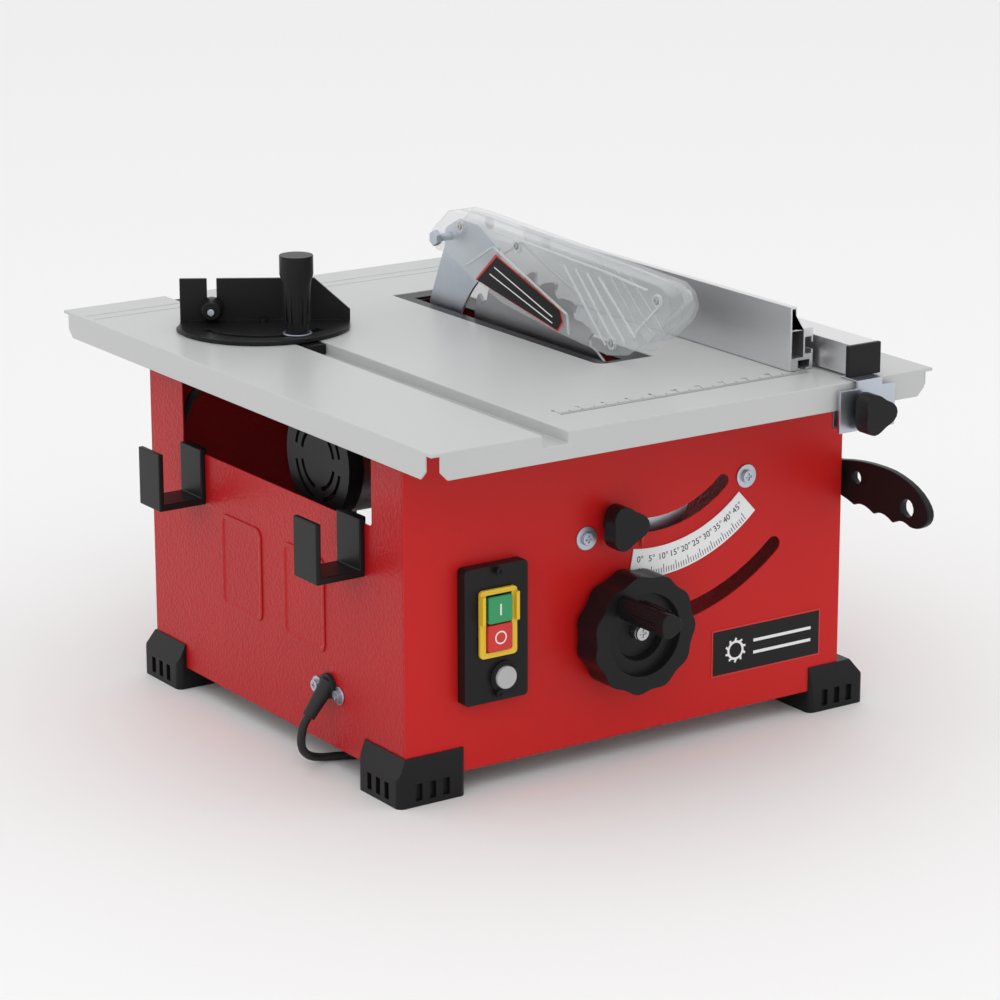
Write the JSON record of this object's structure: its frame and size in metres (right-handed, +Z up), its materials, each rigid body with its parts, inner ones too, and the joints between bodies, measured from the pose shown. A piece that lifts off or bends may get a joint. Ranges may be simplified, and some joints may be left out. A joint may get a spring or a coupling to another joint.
{
  "type": "table saw",
  "caption": "Bench table saw: red sheet-steel cabinet, pale slotted table, tilting rise-and-fall blade, riving knife, clear guard, rip fence and mitre gauge.",
  "frame": {"origin": "on the floor, under the middle of the machine's box, its free mains cord not counted", "axes": "+X to the operator's right, +Y away from the operator along the blade, +Z up from the floor to the table"},
  "size_m": [0.4332, 0.5567, 0.3425],
  "materials": {
    "cabinet_paint": "glossy hammered enamel",
    "front_paint": "satin enamel",
    "table_paint": "satin powder coat",
    "black_plastic": "fine moulded grain",
    "yellow_plastic": "smooth moulded",
    "green_plastic": "smooth moulded",
    "red_plastic": "smooth moulded",
    "clear_plastic": "clear polycarbonate",
    "scale_plate": "printed plate",
    "zinc_steel": "zinc plated",
    "bare_steel": "ground and oiled",
    "blade_steel": "ground saw plate",
    "aluminium": "anodised extrusion",
    "cast_metal": "die cast, matt",
    "motor_shell": "rolled sheet",
    "winding": "lacquered copper windings and steel laminations",
    "rubber": "matt cable sheath"
  },
  "bodies": {
    "frame": {"table_top": "table_paint", "throat_plate": "black_plastic", "cabinet_front": "front_paint", "cabinet_wrap": "cabinet_paint", "foot_front_left": "black_plastic", "foot_front_right": "black_plastic", "foot_rear_left": "black_plastic", "foot_rear_right": "black_plastic", "storage_hook_front": "black_plastic", "storage_hook_rear": "black_plastic", "switch_housing": "black_plastic", "switch_bezel": "yellow_plastic", "angle_scale": "scale_plate", "trunnion_bracket_front": "zinc_steel", "trunnion_bracket_rear": "zinc_steel", "push_stick_holder": "black_plastic", "motor_lead": "rubber", "cord_sleeve": "rubber", "mains_cord": "rubber", "cord_coil": "rubber", "plug": "rubber"},
    "tilting_frame": {"cradle": "zinc_steel", "guide_rod_front": "bare_steel", "guide_rod_rear": "bare_steel", "tilt_pointer": "red_plastic"},
    "lock": {"lock_knob": "black_plastic"},
    "screw": {"lead_screw": "bare_steel"},
    "wheel": {"handwheel": "black_plastic", "wheel_shaft": "bare_steel"},
    "crank": {"crank_handle": "black_plastic"},
    "saw_unit": {"carriage": "cast_metal", "motor_housing": "motor_shell", "motor_end_cap": "black_plastic", "motor_stator": "winding", "motor_bearing": "bare_steel", "gearbox_housing": "cast_metal", "arbor_bearing": "bare_steel", "lower_blade_cover": "black_plastic", "riving_knife": "zinc_steel", "knife_clamp": "zinc_steel"},
    "rotor": {"armature": "bare_steel"},
    "blade_set": {"saw_blade": "blade_steel", "arbor": "bare_steel", "blade_flange": "zinc_steel", "arbor_nut": "zinc_steel"},
    "guard": {"guard_bolt": "zinc_steel", "guard_left_shell": "clear_plastic", "guard_right_shell": "clear_plastic"},
    "fence": {"fence_tube": "aluminium", "fence_clamp": "zinc_steel"},
    "fence_face": {"fence_profile": "aluminium"},
    "fence_lock": {"fence_knob": "black_plastic"},
    "gauge_bar": {"miter_bar": "black_plastic"},
    "gauge_head": {"miter_head": "black_plastic", "miter_thumb_nut": "black_plastic"},
    "gauge_lock": {"miter_handle": "black_plastic"},
    "start": {"start_button": "green_plastic"},
    "stop": {"stop_button": "red_plastic"},
    "reset": {"reset_button": "clear_plastic"},
    "stick": {"push_stick": "black_plastic"}
  },
  "joints": [
    {"name": "tilt", "type": "hinge", "parent": "frame", "child": "tilting_frame", "pos_m": [0.02785, 0.0106, 0.2555], "axis": [0, -1, 0], "range_deg": [0, 45]},
    {"name": "lock_turn", "type": "hinge", "parent": "tilting_frame", "child": "lock", "pos_m": [-0.00797, -0.1794, 0.17272], "axis": [0, 1, 0], "range_deg": [0, 360]},
    {"name": "wheel_turn", "type": "hinge", "parent": "tilting_frame", "child": "wheel", "pos_m": [0.00032, -0.1794, 0.09697], "axis": [0, 1, 0], "range_deg": [-3025, 1]},
    {"name": "crank_spin", "type": "hinge", "parent": "wheel", "child": "crank", "pos_m": [-0.01635, -0.2194, 0.12], "axis": [0, 1, 0], "continuous": true},
    {"name": "screw_turn", "type": "hinge", "parent": "tilting_frame", "child": "screw", "pos_m": [0.00032, -0.1074, 0.185], "axis": [0, 0, 1], "range_deg": [-3025, 1]},
    {"name": "lift", "type": "slide", "parent": "tilting_frame", "child": "saw_unit", "axis": [0, 0, 1], "range_m": [-0.042, 0]},
    {"name": "rotor_spin", "type": "hinge", "parent": "saw_unit", "child": "rotor", "pos_m": [-0.09235, -0.0409, 0.212], "axis": [1, 0, 0], "continuous": true},
    {"name": "blade_spin", "type": "hinge", "parent": "saw_unit", "child": "blade_set", "pos_m": [0.04485, -0.0009, 0.2085], "axis": [1, 0, 0], "continuous": true},
    {"name": "guard_rise", "type": "hinge", "parent": "saw_unit", "child": "guard", "pos_m": [0.04485, 0.1086, 0.319], "axis": [-1, 0, 0], "range_deg": [-0.1, 22.1]},
    {"name": "fence_slide", "type": "slide", "parent": "frame", "child": "fence", "axis": [1, 0, 0], "range_m": [-0.062, 0.04]},
    {"name": "fence_face_slide", "type": "slide", "parent": "fence", "child": "fence_face", "axis": [0, 1, 0], "range_m": [-0.03, 0.1]},
    {"name": "fence_knob_turn", "type": "hinge", "parent": "fence", "child": "fence_lock", "pos_m": [0.14965, -0.2544, 0.2455], "axis": [0, 1, 0], "range_deg": [0, 360]},
    {"name": "miter_slide", "type": "slide", "parent": "frame", "child": "gauge_bar", "axis": [0, 1, 0], "range_m": [-0.29, 0.06]},
    {"name": "miter_turn", "type": "hinge", "parent": "gauge_bar", "child": "gauge_head", "pos_m": [-0.10435, 0.1326, 0.267], "axis": [0, 0, 1], "range_deg": [-24, 89]},
    {"name": "miter_handle_turn", "type": "hinge", "parent": "gauge_bar", "child": "gauge_lock", "pos_m": [-0.10435, 0.0846, 0.295], "axis": [0, 0, 1], "range_deg": [0, 360]},
    {"name": "start_press", "type": "slide", "parent": "frame", "child": "start", "axis": [0, 1, 0], "range_m": [0, 0.002], "stiffness_N_per_m": 400, "springref_m": -0.0005},
    {"name": "stop_press", "type": "slide", "parent": "frame", "child": "stop", "axis": [0, 1, 0], "range_m": [0, 0.002], "stiffness_N_per_m": 400, "springref_m": -0.0005},
    {"name": "reset_press", "type": "slide", "parent": "frame", "child": "reset", "axis": [0, 1, 0], "range_m": [0, 0.003], "stiffness_N_per_m": 400, "springref_m": -0.0005},
    {"name": "push_stick_pull", "type": "slide", "parent": "frame", "child": "stick", "axis": [0, -1, 0], "range_m": [0, 0.25]}
  ],
  "couplings": [
    {"joint": "wheel_turn", "follows": "lift", "rad_per_m": 1256.6},
    {"joint": "screw_turn", "follows": "lift", "rad_per_m": 1256.6},
    {"joint": "guard_rise", "follows": "lift", "rad_per_m": -9.1422},
    {"joint": "blade_spin", "follows": "rotor_spin", "ratio": -0.225}
  ]
}
